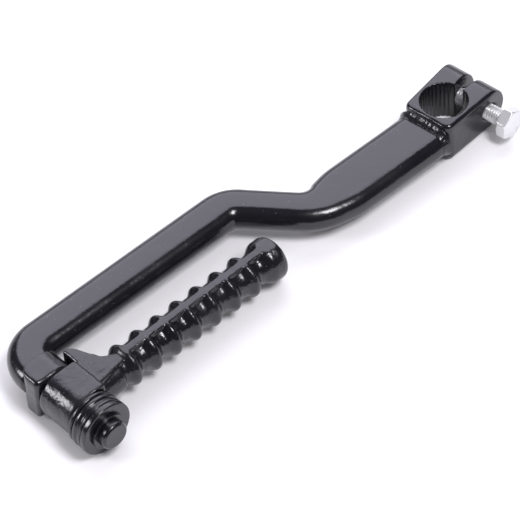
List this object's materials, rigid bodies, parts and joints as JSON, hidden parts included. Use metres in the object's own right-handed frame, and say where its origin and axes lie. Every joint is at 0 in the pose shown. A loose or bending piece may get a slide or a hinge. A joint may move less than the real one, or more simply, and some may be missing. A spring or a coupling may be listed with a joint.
{
  "type": "kick start lever",
  "caption": "Bent flat-bar kick start lever with a split splined clamp boss and pinch bolt at one end and a folding ribbed pedal on a stud at the other.",
  "frame": {"origin": "centre of the splined shaft bore at half its length", "axes": "+Z along the bore, -X towards the pedal's stud, -Y the way the stud's end points; the pedal is stored folded along +X"},
  "size_m": [0.2003, 0.0544, 0.0194],
  "materials": {
    "black_paint": "satin black paint on forged steel",
    "zinc_plate": "bright zinc plate",
    "spring_steel": "dark spring steel"
  },
  "bodies": {
    "lever": {"arm_bar": "black_paint", "clamp_boss": "black_paint", "boss_weld": "black_paint", "pinch_bolt": "zinc_plate", "pivot_block": "black_paint", "pivot_stud": "black_paint", "thrust_washer": "black_paint", "spring_cup": "black_paint", "disc_springs": "spring_steel", "retaining_washer": "black_paint", "circlip": "black_paint"},
    "folding_pedal": {"pedal": "black_paint"}
  },
  "joints": [
    {"name": "pedal_fold", "type": "hinge", "parent": "lever", "child": "folding_pedal", "pos_m": [-0.1704, -0.005, 0], "axis": [0, -1, 0], "range_deg": [0, 90]}
  ]
}
